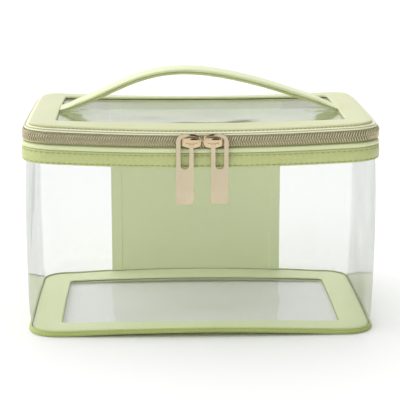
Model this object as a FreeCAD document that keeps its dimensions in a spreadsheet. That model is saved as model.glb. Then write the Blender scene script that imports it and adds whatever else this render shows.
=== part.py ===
# Makeup train case: a clear wall and two clear windows in leatherette frames, a zip lid
# that hinges on the back panel, a strap handle and two zip sliders that meet at the front.
# Millimetres. Origin at the middle of the rest face, +Z up, the zip sliders face -Y.
import FreeCAD, Part
import math
import os
import Sketcher

SIZES = (
    # the body in plan, measured on the clear wall's outer face
    ("wall_width", 254), ("wall_depth", 166),
    ("front_bow", 1800), ("side_bow", 4000), ("corner_radius", 20),
    # heights
    ("body_height", 142.6), ("wall_lap", 9.6), ("tuck", 1), ("tuck_height", 16),
    # sheets
    ("wall_thick", 0.8), ("skin_thick", 0.8), ("frame_thick", 1.6), ("pane_thick", 0.8),
    ("panel_thick", 1), ("panel_width", 140), ("panel_hem", 8), ("seam_gap", 0.3),
    # base
    ("base_member", 22), ("window_corner", 4), ("window_lap", 8),
    ("binding_height", 4), ("binding_thick", 1.8), ("wall_foot", 1),
    # band round the top of the wall
    ("band_height", 10.4), ("band_thick", 2.6), ("roll_height", 3.4),
    # zip
    ("tape_show", 1), ("coil_width", 8.1), ("coil_thick", 2.4),
    ("coil_gap", 1), ("lid_tape_show", 0.2), ("lid_roll_height", 1.9),
    # lid
    ("brim_proud", 0.6), ("lid_inset", 1.5), ("lid_member", 22.6), ("stiffener_inset", 0.8),
    # handle
    ("handle_end_gap", 1), ("handle_rise", 29.5), ("handle_end_bend", 62),
    ("handle_width", 25), ("strap_skin", 1.2), ("strap_core", 1.6),
    ("handle_tab", 9), ("tab_root", 3), ("tab_thick", 0.9), ("tab_air", 0.1),
    # sliders
    ("slider_length", 13.5), ("slider_width", 11.5), ("slider_tail", 8.4), ("nose_gap", 0.8),
    ("plate_thick", 1.3), ("nose_cut", 1.5), ("nose_slope", 1),
    ("plate_air", 0.5), ("back_plate_width", 9), ("back_plate_thick", 1),
    ("back_plate_air", 0.3), ("web_length", 8), ("web_thick", 0.5),
    # crowns and pulls
    ("crown_drop", 2.2), ("crown_length", 11.5), ("crown_width", 7.5), ("crown_thick", 1.3),
    ("leg_thick", 2), ("leg_width", 4.6), ("pull_air", 0.25), ("pull_thick", 1.7),
    ("pull_width", 12.5), ("pull_length", 50.6), ("slot_width", 6), ("slot_length", 22.5),
    ("pull_top_wall", 2.6),
)

doc = FreeCAD.newDocument("TrainCase")
sheet = doc.addObject("Spreadsheet::Sheet", "Sizes")
for row, (alias, number) in enumerate(SIZES, start=1):
    sheet.set("A%d" % row, alias)
    sheet.set("B%d" % row, str(number))
    sheet.setAlias("B%d" % row, alias)
doc.recompute()


class Size:
    """A length and the sheet expression that gives it."""

    def __init__(self, value, text):
        self.value = value
        self.text = text

    def __add__(self, other):
        other = as_size(other)
        return Size(self.value + other.value, "(%s + %s)" % (self.text, other.text))

    def __sub__(self, other):
        other = as_size(other)
        return Size(self.value - other.value, "(%s - %s)" % (self.text, other.text))

    def __mul__(self, other):
        other = as_size(other)
        return Size(self.value * other.value, "(%s * %s)" % (self.text, other.text))

    def __truediv__(self, other):
        other = as_size(other)
        return Size(self.value / other.value, "(%s / %s)" % (self.text, other.text))

    def __neg__(self):
        return Size(-self.value, "(0 - %s)" % self.text)


def as_size(number):
    return number if isinstance(number, Size) else Size(float(number), repr(float(number)))


size = {alias: Size(float(getattr(sheet, alias)), "Sizes." + alias) for alias, number in SIZES}
ZERO = as_size(0)

# Levels, from the rest face up
frame_top = size["frame_thick"]
pane_top = frame_top + size["pane_thick"]
base_lining_top = pane_top + size["skin_thick"]
wall_top = size["body_height"] - size["wall_lap"]
band_top = size["body_height"] - size["roll_height"]
band_bottom = band_top - size["band_height"]
coil_bottom = size["body_height"] + size["tape_show"]
zip_middle = coil_bottom + size["coil_width"] / 2
case_zip_top = zip_middle - size["coil_gap"] / 2
lid_zip_bottom = zip_middle + size["coil_gap"] / 2
coil_top = zip_middle + size["coil_width"] / 2
lid_roll_bottom = coil_top + size["lid_tape_show"]
lid_pane_bottom = lid_roll_bottom + size["lid_roll_height"]
lid_lining_bottom = lid_pane_bottom - size["skin_thick"]
lid_pane_top = lid_pane_bottom + size["pane_thick"]
lid_top = lid_pane_top + size["frame_thick"]

# Insets from the wall's outer face, in plan; what stands proud of it is negative
inner_face = size["wall_thick"]
lining_face = size["wall_thick"] + size["skin_thick"]
tape_thick = size["wall_thick"]
base_edge = size["tuck"] + size["wall_thick"]
panel_half = size["panel_width"] / 2
panel_gap_half = panel_half + size["seam_gap"]
wall_gap_half = panel_half - size["panel_hem"]

# The handle strap: its sewn ends stop just inside the lid window, and its two bends meet
# where the end bend and the crest have the same slope. The fixed ends stop short of that.
strap_thick = size["strap_skin"] * 2 + size["strap_core"]
handle_half = (size["wall_width"] / 2 + size["brim_proud"] - size["lid_member"]
               - size["handle_end_gap"])
handle_foot = lid_pane_top + size["seam_gap"]
strap_radii = (handle_half * handle_half
               + size["handle_rise"] * size["handle_rise"]) / (size["handle_rise"] * 2)
crest_bend = strap_radii - size["handle_end_bend"]
END_SHARE = 0.94
handle_fixed = (size["handle_end_bend"] - strap_thick) * handle_half / strap_radii * END_SHARE
handle_split = handle_half - handle_fixed

# How much of a part's thickness or width its edges are rounded by
FRAME_ROUND, LID_ROUND, BINDING_ROUND, EDGE_ROUND = 0.5, 0.6, 0.7, 0.4
SHOULDER_ROUND = 0.9
CROWN_CORNER, CROWN_RIM = 0.35, 0.6
PULL_TOP, PULL_FOOT, PULL_RIM = 0.92, 0.1, 0.15
SHOULDER_SHARE = 0.45
DOME_SHARE = 0.9

# How close two levels are when they count as the same
NEAR = 1e-4

# The slider's layers, outwards from the wall's outer face
plate_back = size["coil_thick"] + size["plate_air"]
plate_front = plate_back + size["plate_thick"]
pull_back = plate_front + size["pull_air"]
pull_front = pull_back + size["pull_thick"]
crown_back = pull_front + size["pull_air"]
crown_front = crown_back + size["crown_thick"]
slider_back = tape_thick + size["back_plate_air"]

# The crowns reach further than the band at the back, so everything moves back by half
# of the difference, and the origin stays in the middle.
centre_shift = (crown_front - size["band_thick"]) / 2
crown_level = zip_middle - size["crown_drop"]

parts = []


# ---------------------------------------------------------------- drawing helpers
def new_body(label):
    body = doc.addObject("PartDesign::Body", label)
    body.Label = label
    body.setExpression("Placement.Base.y", centre_shift.text)
    parts.append(body)
    return body


def new_sketch(body, role, level=ZERO):
    """A sketch on one of the body's origin planes, lifted off it by level."""
    sketch = body.newObject("Sketcher::SketchObject", body.Label + "_sketch")
    plane = next(item for item in body.Origin.OriginFeatures if item.Role == role)
    sketch.AttachmentSupport = [(plane, "")]
    sketch.MapMode = "FlatFace"
    sketch.setExpression("AttachmentOffset.Base.z", level.text)
    return sketch


def dimension(sketch, kind, target, value):
    """A sketch dimension that follows its sheet expression."""
    number = sketch.addConstraint(Sketcher.Constraint(kind, *target, value.value))
    sketch.setExpression("Constraints[%d]" % number, value.text)


def place_point(sketch, geometry, point, across, up):
    """Fixes a point of the geometry at (across, up) from the sketch's origin."""
    for kind, value in (("DistanceX", across), ("DistanceY", up)):
        if abs(value.value) < 1e-9:
            dimension(sketch, kind, (geometry, point, -1, 1), ZERO)
        elif value.value < 0:
            dimension(sketch, kind, (geometry, point, -1, 1), -value)
        else:
            dimension(sketch, kind, (-1, 1, geometry, point), value)


def arc(centre, radius, start, end):
    circle = Part.Circle(FreeCAD.Vector(centre[0], centre[1], 0), FreeCAD.Vector(0, 0, 1), radius)
    return Part.ArcOfCircle(circle, start, end)


def line(start, end):
    return Part.LineSegment(FreeCAD.Vector(start[0], start[1], 0), FreeCAD.Vector(end[0], end[1], 0))


def corner_centre(corner_total):
    """Where the front right corner arc is centred, so that it runs into both bowed sides."""
    front = FreeCAD.Vector(0, size["front_bow"].value - size["wall_depth"].value / 2, 0)
    side = FreeCAD.Vector(size["wall_width"].value / 2 - size["side_bow"].value, 0, 0)
    from_front = size["front_bow"].value - corner_total
    from_side = size["side_bow"].value - corner_total
    between = side - front
    span = between.Length
    along = (from_front ** 2 - from_side ** 2 + span ** 2) / (2 * span)
    across = math.sqrt(from_front ** 2 - along ** 2)
    unit = between / span
    normal = FreeCAD.Vector(-unit.y, unit.x, 0)
    centre = front + unit * along + normal * across
    return front, side, centre


def draw_outline(sketch, inset, corner=None):
    """The case's plan outline, inset from the wall's outer face: four bowed sides and four
    corner arcs, all tangent. A corner radius of its own can be given."""
    if corner is None:
        corner = size["corner_radius"] - inset
    front, side, centre = corner_centre(corner.value + inset.value)
    at_front = math.atan2(centre.y - front.y, centre.x - front.x)
    at_side = math.atan2(centre.y - side.y, centre.x - side.x)
    long_radius = size["front_bow"] - inset
    short_radius = size["side_bow"] - inset
    front_y = size["front_bow"] - size["wall_depth"] / 2
    side_x = size["wall_width"] / 2 - size["side_bow"]
    x, y = centre.x, centre.y
    pieces = (
        ((0, front.y), long_radius, -math.pi - at_front, at_front),
        ((x, y), corner, at_front, at_side),
        ((side.x, 0), short_radius, at_side, -at_side),
        ((x, -y), corner, -at_side, -at_front),
        ((0, -front.y), long_radius, -at_front, math.pi + at_front),
        ((-x, -y), corner, math.pi + at_front, math.pi + at_side),
        ((-side.x, 0), short_radius, math.pi + at_side, math.pi - at_side),
        ((-x, y), corner, math.pi - at_side, math.pi - at_front),
    )
    arcs = [sketch.addGeometry(arc(at, radius.value, start, end), False)
            for at, radius, start, end in pieces]
    for number, piece in zip(arcs, pieces):
        dimension(sketch, "Radius", (number,), piece[1])
    centres = ((ZERO, front_y), (side_x, ZERO), (ZERO, -front_y), (-side_x, ZERO))
    for number, (across, up) in zip(arcs[::2], centres):
        place_point(sketch, number, 3, across, up)
    for first, second in zip(arcs, arcs[1:] + arcs[:1]):
        sketch.addConstraint(Sketcher.Constraint("Tangent", first, 2, second, 1))


def draw_polygon(sketch, corners):
    """A closed polygon through corners, each an (across, up) pair of sizes."""
    points = [(across.value, up.value) for across, up in corners]
    lines = [sketch.addGeometry(line(start, end), False)
             for start, end in zip(points, points[1:] + points[:1])]
    for first, second in zip(lines, lines[1:] + lines[:1]):
        sketch.addConstraint(Sketcher.Constraint("Coincident", first, 2, second, 1))
    for number, (across, up) in zip(lines, corners):
        place_point(sketch, number, 1, across, up)


def draw_rectangle(sketch, left, right, low, high):
    draw_polygon(sketch, ((left, low), (right, low), (right, high), (left, high)))


def draw_back_strip(sketch, outer, inner, half_width):
    """A piece of the bowed back between two insets, half_width to each side."""
    centre_y = size["wall_depth"] / 2 - size["front_bow"]
    radii = [size["front_bow"] - outer, size["front_bow"] - inner]
    turns = [math.asin(half_width.value / radius.value) for radius in radii]
    arcs = [sketch.addGeometry(arc((0, centre_y.value), radius.value, math.pi / 2 - turn,
                                   math.pi / 2 + turn), False)
            for radius, turn in zip(radii, turns)]
    ends = [(radius.value * math.sin(turn), centre_y.value + radius.value * math.cos(turn))
            for radius, turn in zip(radii, turns)]
    left = sketch.addGeometry(line((-ends[0][0], ends[0][1]), (-ends[1][0], ends[1][1])), False)
    right = sketch.addGeometry(line(ends[1], ends[0]), False)
    for number, radius in zip(arcs, radii):
        dimension(sketch, "Radius", (number,), radius)
        place_point(sketch, number, 3, ZERO, centre_y)
    for number, point, other, other_point in ((arcs[0], 2, left, 1), (left, 2, arcs[1], 2),
                                              (arcs[1], 1, right, 1), (right, 2, arcs[0], 1)):
        sketch.addConstraint(Sketcher.Constraint("Coincident", number, point, other, other_point))
    sketch.addConstraint(Sketcher.Constraint("Vertical", left))
    sketch.addConstraint(Sketcher.Constraint("Vertical", right))
    dimension(sketch, "DistanceX", (left, 1, -1, 1), half_width)
    dimension(sketch, "DistanceX", (-1, 1, right, 1), half_width)


# ---------------------------------------------------------------- feature helpers
def grow(body, sketch, length, both_ways=False, down=False):
    pad = body.newObject("PartDesign::Pad", body.Label + "_pad")
    pad.Profile = sketch
    pad.setExpression("Length", length.text)
    pad.Midplane = both_ways
    pad.Reversed = down
    doc.recompute()
    return pad


def cut(body, sketch, length=None, up=False):
    """Cuts the sketch out of the body: through all of it both ways, or length deep."""
    before = body.Shape.Volume
    pocket = body.newObject("PartDesign::Pocket", body.Label + "_pocket")
    pocket.Profile = sketch
    if length is None:
        pocket.Type = "ThroughAll"
        pocket.Midplane = True
    else:
        pocket.setExpression("Length", length.text)
        pocket.Reversed = up
    doc.recompute()
    if not body.Shape.Volume < before - 1e-3:
        raise RuntimeError(body.Label + ": a pocket cut nothing")
    return pocket


def round_edges(body, radius, chosen):
    """Rounds the edges of the body's tip that chosen(edge) picks."""
    base = body.Tip
    names = ["Edge%d" % number for number, edge in enumerate(base.Shape.Edges, start=1)
             if chosen(edge)]
    if not names:
        raise RuntimeError(body.Label + ": no edges to round")
    fillet = body.newObject("PartDesign::Fillet", body.Label + "_fillet")
    fillet.Base = (base, names)
    fillet.setExpression("Radius", radius.text)
    doc.recompute()
    return fillet


def inset_at(point):
    """How far inside the wall's outer face a point lies, in plan."""
    front, side, centre = corner_centre(size["corner_radius"].value)
    near = FreeCAD.Vector(abs(point.x), -abs(point.y), 0)
    angle = math.atan2(near.y - centre.y, near.x - centre.x)
    if angle < math.atan2(centre.y - front.y, centre.x - front.x):
        return size["front_bow"].value - (near - front).Length
    if angle > math.atan2(centre.y - side.y, centre.x - side.x):
        return size["side_bow"].value - (near - side).Length
    return size["corner_radius"].value - (near - centre).Length


def level_edges(levels, inset):
    """Picks the edges that run round the case at these levels and this inset."""
    def chosen(edge):
        box = edge.BoundBox
        middle = edge.valueAt((edge.FirstParameter + edge.LastParameter) / 2)
        flat = box.ZLength < NEAR and any(abs(box.ZMin - level.value) < NEAR for level in levels)
        return flat and abs(inset_at(middle) - inset.value) < 0.05
    return chosen


def ring(label, outer, inner, bottom, top, gap_half=None, inner_corner=None):
    """A ring that follows the case's outline, open at the back if gap_half is given."""
    body = new_body(label)
    sketch = new_sketch(body, "XY_Plane", bottom)
    draw_outline(sketch, outer)
    draw_outline(sketch, inner, inner_corner)
    grow(body, sketch, top - bottom)
    if gap_half is not None:
        open_back(body, gap_half)
    return body


def open_back(body, gap_half):
    sketch = new_sketch(body, "XY_Plane")
    draw_rectangle(sketch, -gap_half, gap_half, ZERO, size["wall_depth"])
    cut(body, sketch)


def pane(label, inset, bottom, corner):
    body = new_body(label)
    sketch = new_sketch(body, "XY_Plane", bottom)
    draw_outline(sketch, inset, corner)
    grow(body, sketch, size["pane_thick"])
    return body


def loft(body, sketches, kind="PartDesign::AdditiveLoft"):
    feature = body.newObject(kind, body.Label + "_loft")
    feature.Profile = sketches[0]
    feature.Sections = sketches[1:]
    feature.Ruled = True
    doc.recompute()
    return feature


def tucked_panel(label, outer, inner, half_width, top):
    """A back panel layer: it stands on the base binding and follows the wall's tuck."""
    body = new_body(label)
    foot = new_sketch(body, "XY_Plane", size["binding_height"])
    draw_back_strip(foot, outer + size["tuck"], inner + size["tuck"], half_width)
    knee = new_sketch(body, "XY_Plane", size["tuck_height"])
    draw_back_strip(knee, outer, inner, half_width)
    loft(body, [foot, knee])
    grow(body, knee, top - size["tuck_height"])
    return body


# ---------------------------------------------------------------- the case
def make_base():
    window = size["tuck"] + size["base_member"]
    corner = size["window_corner"]
    frame = ring("base_frame", base_edge, window, ZERO, frame_top, inner_corner=corner)
    round_edges(frame, frame_top * FRAME_ROUND, level_edges([ZERO], base_edge))
    ring("base_stiffener", base_edge, window + (-size["window_lap"]), frame_top, pane_top,
         inner_corner=corner + size["window_lap"])
    ring("base_frame_lining", base_edge, window, pane_top, base_lining_top, inner_corner=corner)
    pane("base_window", window - size["window_lap"] + size["seam_gap"], frame_top,
         corner + size["window_lap"] - size["seam_gap"])
    binding = ring("base_binding", size["tuck"] - size["binding_thick"], size["tuck"],
                   ZERO, size["binding_height"])
    round_edges(binding, size["binding_thick"] * BINDING_ROUND,
                level_edges([ZERO, size["binding_height"]], size["tuck"] - size["binding_thick"]))


def make_wall():
    """One sheet round the front and sides: its foot stands in the base binding, leans out to
    the full outline, and its back edges end under the back panel's hems."""
    body = new_body("wall_sheet")
    stages = (ZERO, size["wall_thick"])
    for inset, inside in zip(stages, (False, True)):
        foot = new_sketch(body, "XY_Plane", size["wall_foot"])
        draw_outline(foot, inset + size["tuck"])
        ankle = new_sketch(body, "XY_Plane", size["binding_height"])
        draw_outline(ankle, inset + size["tuck"])
        knee = new_sketch(body, "XY_Plane", size["tuck_height"])
        draw_outline(knee, inset)
        if inside:
            cut(body, foot, size["binding_height"] - size["wall_foot"], up=True)
            loft(body, [ankle, knee], "PartDesign::SubtractiveLoft")
            cut(body, knee, wall_top - size["tuck_height"], up=True)
        else:
            grow(body, foot, size["binding_height"] - size["wall_foot"])
            loft(body, [ankle, knee])
            grow(body, knee, wall_top - size["tuck_height"])
    open_back(body, wall_gap_half)


def make_back_panel():
    tucked_panel("back_panel", -size["panel_thick"], ZERO, panel_half, case_zip_top)
    tucked_panel("back_panel_stiffener", ZERO, inner_face, wall_gap_half - size["seam_gap"],
                 size["body_height"])
    tucked_panel("back_panel_lining", inner_face, lining_face, panel_half, case_zip_top)


def make_band():
    band = ring("body_band", -size["band_thick"], ZERO, band_bottom, band_top, panel_gap_half)
    round_edges(band, size["band_thick"] * EDGE_ROUND,
                level_edges([band_bottom, band_top], -size["band_thick"]))
    roll = ring("band_rolled_edge", -size["band_thick"], ZERO, band_top, size["body_height"],
                panel_gap_half)
    round_edges(roll, size["roll_height"] * EDGE_ROUND,
                level_edges([band_top, size["body_height"]], -size["band_thick"]))
    ring("body_band_lining", inner_face, lining_face, band_bottom, size["body_height"],
         panel_gap_half)


def make_zip():
    """Two tapes on edge, one sewn to the band and one to the lid, each with its half of the
    coil chain on the outside."""
    coil_face = -size["coil_thick"]
    ring("zip_tape_lower", ZERO, tape_thick, wall_top, case_zip_top,
         panel_gap_half)
    ring("zip_tape_upper", ZERO, tape_thick, lid_zip_bottom, lid_pane_bottom,
         panel_gap_half)
    lower = ring("zip_coil_lower", coil_face, ZERO, coil_bottom, case_zip_top, panel_gap_half)
    round_edges(lower, size["coil_thick"] * EDGE_ROUND, level_edges([coil_bottom], coil_face))
    upper = ring("zip_coil_upper", coil_face, ZERO, lid_zip_bottom, coil_top, panel_gap_half)
    round_edges(upper, size["coil_thick"] * EDGE_ROUND, level_edges([coil_top], coil_face))


# ---------------------------------------------------------------- the lid
def make_lid():
    """The top frame stands a little inside the wall. A rolled brim fills the step between
    the frame's edge and the zip, and runs on under the frame."""
    edge = size["lid_inset"]
    brim = -size["brim_proud"]
    window = brim + size["lid_member"]
    corner = size["window_corner"]
    frame = ring("lid_frame", edge, window, lid_pane_top, lid_top, inner_corner=corner)
    round_edges(frame, size["frame_thick"] * LID_ROUND, level_edges([lid_top], edge))
    tabs = new_sketch(frame, "XY_Plane", lid_pane_top)
    tab_start = handle_half - size["seam_gap"]
    tab_end = handle_half + size["handle_tab"] + size["seam_gap"]
    tab_side = size["handle_width"] / 2 + size["seam_gap"]
    draw_rectangle(tabs, tab_start, tab_end, -tab_side, tab_side)
    draw_rectangle(tabs, -tab_end, -tab_start, -tab_side, tab_side)
    cut(frame, tabs, size["tab_thick"] + size["tab_air"], up=True)
    ring("lid_stiffener", edge + size["stiffener_inset"], window - size["window_lap"],
         lid_pane_bottom, lid_pane_top, inner_corner=corner + size["window_lap"])
    pane("lid_window", window - size["window_lap"] + size["seam_gap"], lid_pane_bottom,
         corner + size["window_lap"] - size["seam_gap"])
    ring("lid_frame_lining", tape_thick + size["seam_gap"], window,
         lid_lining_bottom, lid_pane_bottom, inner_corner=corner)
    roll = ring("lid_rolled_edge", brim, ZERO, lid_roll_bottom, lid_pane_bottom, panel_gap_half)
    shoulder = new_sketch(roll, "XY_Plane", lid_pane_bottom)
    draw_outline(shoulder, brim)
    draw_outline(shoulder, edge + size["stiffener_inset"] - size["seam_gap"])
    grow(roll, shoulder, size["pane_thick"])
    round_edges(roll, size["pane_thick"] * SHOULDER_ROUND, level_edges([lid_pane_top], brim))


def make_hinge():
    """The back panel's leatherette carried on past the fold line into the lid."""
    for label, outer, inner, top in (
            ("hinge_strip", -size["panel_thick"], ZERO, lid_pane_bottom),
            ("hinge_strip_lining", inner_face, lining_face, lid_lining_bottom)):
        body = new_body(label)
        sketch = new_sketch(body, "XY_Plane", lid_zip_bottom)
        draw_back_strip(sketch, outer, inner, panel_half)
        grow(body, sketch, top - lid_zip_bottom)


# ---------------------------------------------------------------- the handle
def draw_strap(sketch, low, high, reach):
    """The strap's side view between two heights above its underside: it leaves the lid flat,
    bends up, and bends back over its crest, as three tangent arcs, cut off at reach."""
    end_z = handle_foot + size["handle_end_bend"]
    crest_z = handle_foot + size["handle_rise"] - crest_bend
    half = handle_half.value
    turn = math.atan2(half, end_z.value - crest_z.value)
    curves = []
    for lift in (low, high):
        end_radius = size["handle_end_bend"] - lift
        crest_radius = crest_bend + lift
        swing = math.asin((half - reach.value) / end_radius.value)
        right = sketch.addGeometry(arc((half, end_z.value), end_radius.value,
                                       -math.pi / 2 - turn, -math.pi / 2 - swing), False)
        crest = sketch.addGeometry(arc((0, crest_z.value), crest_radius.value,
                                       math.pi / 2 - turn, math.pi / 2 + turn), False)
        left = sketch.addGeometry(arc((-half, end_z.value), end_radius.value,
                                      -math.pi / 2 + swing, -math.pi / 2 + turn), False)
        for number, radius in ((right, end_radius), (crest, crest_radius), (left, end_radius)):
            dimension(sketch, "Radius", (number,), radius)
        place_point(sketch, right, 3, handle_half, end_z)
        place_point(sketch, left, 3, -handle_half, end_z)
        sketch.addConstraint(Sketcher.Constraint("Tangent", right, 1, crest, 1))
        sketch.addConstraint(Sketcher.Constraint("Tangent", crest, 2, left, 2))
        drop = end_z.value - end_radius.value * math.cos(swing)
        curves.append((left, right, drop))
    (low_left, low_right, low_drop), (high_left, high_right, high_drop) = curves
    at = reach.value
    left_cut = sketch.addGeometry(line((-at, low_drop), (-at, high_drop)), False)
    right_cut = sketch.addGeometry(line((at, low_drop), (at, high_drop)), False)
    for cut_line, low_arc, high_arc, point in ((left_cut, low_left, high_left, 1),
                                               (right_cut, low_right, high_right, 2)):
        sketch.addConstraint(Sketcher.Constraint("Coincident", low_arc, point, cut_line, 1))
        sketch.addConstraint(Sketcher.Constraint("Coincident", high_arc, point, cut_line, 2))
        sketch.addConstraint(Sketcher.Constraint("Vertical", cut_line))
    dimension(sketch, "DistanceX", (left_cut, 1, -1, 1), reach)
    dimension(sketch, "DistanceX", (-1, 1, right_cut, 1), reach)


def make_handle():
    """Two leatherette layers over a core. The part near each end stays with the lid."""
    skin = size["strap_skin"]
    layers = (("handle_underside", ZERO, skin), ("handle_core", skin, skin + size["strap_core"]),
              ("handle_strap", skin + size["strap_core"], strap_thick))
    for label, low, high in layers:
        body = new_body(label)
        sketch = new_sketch(body, "XZ_Plane")
        draw_strap(sketch, low, high, handle_split)
        grow(body, sketch, size["handle_width"], both_ways=True)
    make_handle_ends()


def make_handle_ends():
    """Both fixed ends of the strap, each with the flat tab that is sewn under the lid frame."""
    body = new_body("handle_ends")
    end_z = handle_foot + size["handle_end_bend"]
    half = handle_half
    near = handle_split + size["seam_gap"]
    sketch = new_sketch(body, "XZ_Plane")
    for side in (1, -1):
        draw_strap_end(sketch, side, half, near, end_z)
    grow(body, sketch, size["handle_width"], both_ways=True)
    tabs = new_sketch(body, "XY_Plane", lid_pane_top)
    side = size["handle_width"] / 2
    start = half - size["tab_root"]
    draw_rectangle(tabs, start, half + size["handle_tab"], -side, side)
    draw_rectangle(tabs, -(half + size["handle_tab"]), -start, -side, side)
    grow(body, tabs, size["tab_thick"])


def draw_strap_end(sketch, side, half, near, end_z):
    """The strap from its sewn end up to the cut: two arcs about one centre and two lines."""
    inner = size["handle_end_bend"] - strap_thick
    outer = size["handle_end_bend"]
    centre = (side * half.value, end_z.value)
    points = []
    arcs = []
    for radius in (outer, inner):
        swing = math.asin((half.value - near.value) / radius.value)
        down = -math.pi / 2
        start, end = (down - swing, down) if side > 0 else (down, down + swing)
        arcs.append(sketch.addGeometry(arc(centre, radius.value, start, end), False))
        points.append((side * near.value, end_z.value - radius.value * math.cos(swing)))
        dimension(sketch, "Radius", (arcs[-1],), radius)
        place_point(sketch, arcs[-1], 3, half * side, end_z)
    flat = sketch.addGeometry(line((centre[0], end_z.value - outer.value),
                                   (centre[0], end_z.value - inner.value)), False)
    cut_line = sketch.addGeometry(line(points[0], points[1]), False)
    at_flat, at_cut = (2, 1) if side > 0 else (1, 2)
    for number, point in zip(arcs, (1, 2)):
        sketch.addConstraint(Sketcher.Constraint("Coincident", number, at_flat, flat, point))
        sketch.addConstraint(Sketcher.Constraint("Coincident", number, at_cut, cut_line, point))
    sketch.addConstraint(Sketcher.Constraint("Vertical", flat))
    sketch.addConstraint(Sketcher.Constraint("Vertical", cut_line))
    dimension(sketch, "DistanceX", (flat, 1, -1, 1) if side < 0 else (-1, 1, flat, 1), half)
    dimension(sketch, "DistanceX", (cut_line, 1, -1, 1) if side < 0 else (-1, 1, cut_line, 1),
              near)


# ---------------------------------------------------------------- sliders and pulls
front_face = -(size["wall_depth"] / 2)


def across(side, near, far):
    """A stretch from near to far on one side, as (left, right)."""
    return (near, far) if side > 0 else (-far, -near)


def slab(body, side, near, far, low, high, out_near, out_far):
    """A block between two distances from the middle, two levels and two distances out from
    the wall's front face."""
    sketch = new_sketch(body, "XY_Plane", low)
    left, right = across(side, near, far)
    draw_rectangle(sketch, left, right, front_face - out_far, front_face - out_near)
    grow(body, sketch, high - low)


def make_slider(name, side):
    """The slider's front and back plates, joined by the thin web that runs between the two
    halves of the chain. It is widest at the nose, where the two sliders meet."""
    nose = size["nose_gap"]
    tail = nose + size["slider_length"]
    body = new_body(name + "_slider")
    sketch = new_sketch(body, "XZ_Plane", -front_face + plate_back)
    half = size["slider_width"] / 2
    tail_half = size["slider_tail"] / 2
    shoulder = nose + size["slider_length"] * SHOULDER_SHARE
    cut_x = nose + size["nose_cut"]
    cut_z = half - size["nose_slope"]
    outline = [(cut_x, zip_middle - cut_z), (shoulder, zip_middle - half),
               (tail, zip_middle - tail_half), (tail, zip_middle + tail_half),
               (shoulder, zip_middle + half), (cut_x, zip_middle + cut_z),
               (nose, zip_middle)]
    draw_polygon(sketch, [(x * side, z) for x, z in outline])
    grow(body, sketch, size["plate_thick"])
    middle = nose + size["slider_length"] / 2
    slab(body, side, middle - size["web_length"] / 2, middle + size["web_length"] / 2,
         zip_middle - size["web_thick"] / 2, zip_middle + size["web_thick"] / 2,
         -slider_back - size["back_plate_thick"] / 2, plate_back + size["plate_thick"] / 2)
    back_half = size["back_plate_width"] / 2
    slab(body, side, nose, tail, zip_middle - back_half, zip_middle + back_half,
         -slider_back - size["back_plate_thick"], -slider_back)
    front_y = front_face.value - plate_front.value

    def plate_rim(edge):
        box = edge.BoundBox
        return box.YLength < NEAR and abs(box.YMin - front_y) < NEAR
    round_edges(body, size["plate_thick"] * EDGE_ROUND, plate_rim)


def make_crown(name, side):
    """The arch over the slider that holds the pull: two legs and a domed top."""
    middle = size["nose_gap"] + size["slider_length"] / 2
    half = size["crown_length"] / 2
    leg = size["leg_thick"]
    leg_half = size["leg_width"] / 2
    low, high = crown_level - leg_half, crown_level + leg_half
    body = new_body(name + "_crown")
    crown_half = size["crown_width"] / 2
    slab(body, side, middle - half, middle + half, crown_level - crown_half,
         crown_level + crown_half, crown_back, crown_front)
    slab(body, side, middle - half, middle - half + leg, low, high, plate_front,
         crown_back + size["crown_thick"] / 2)
    slab(body, side, middle + half - leg, middle + half, low, high, plate_front,
         crown_back + size["crown_thick"] / 2)
    front_y = front_face.value - crown_front.value

    def dome_edges(edge):
        box = edge.BoundBox
        return box.YMin < front_y + size["crown_thick"].value * DOME_SHARE and box.YLength > NEAR
    round_edges(body, size["crown_width"] * CROWN_CORNER, dome_edges)

    def rim(edge):
        box = edge.BoundBox
        return box.YLength < NEAR and abs(box.YMin - front_y) < NEAR
    round_edges(body, size["crown_thick"] * CROWN_RIM, rim)


def make_pull(name, side):
    """A long flat pull that hangs from the crown's outer leg by its slot."""
    leg_x = size["nose_gap"] + size["slider_length"] / 2 + size["crown_length"] / 2
    pivot = leg_x - size["leg_thick"] / 2
    half = size["pull_width"] / 2
    slot_half = size["slot_width"] / 2
    top = crown_level + slot_half + size["pull_top_wall"]
    body = new_body(name + "_pull")
    sketch = new_sketch(body, "XZ_Plane", -front_face + pull_back)
    draw_polygon(sketch, [(x * side, z) for x, z in (
        (pivot - half, top - size["pull_length"]), (pivot + half, top - size["pull_length"]),
        (pivot + half, top), (pivot - half, top))])
    grow(body, sketch, size["pull_thick"])

    def corners(level):
        def chosen(edge):
            box = edge.BoundBox
            flat = box.XLength < NEAR and box.ZLength < NEAR
            return flat and abs(box.ZMin - level) < NEAR
        return chosen
    round_edges(body, half * PULL_TOP, corners(top.value))
    round_edges(body, size["pull_width"] * PULL_FOOT, corners((top - size["pull_length"]).value))
    slot = new_sketch(body, "XZ_Plane", -front_face + pull_back)
    draw_slot(slot, pivot * side, crown_level, size["slot_length"] - size["slot_width"],
              slot_half)
    cut(body, slot)

    def rims(edge):
        box = edge.BoundBox
        return box.YLength < NEAR
    round_edges(body, size["pull_thick"] * PULL_RIM, rims)


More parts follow.
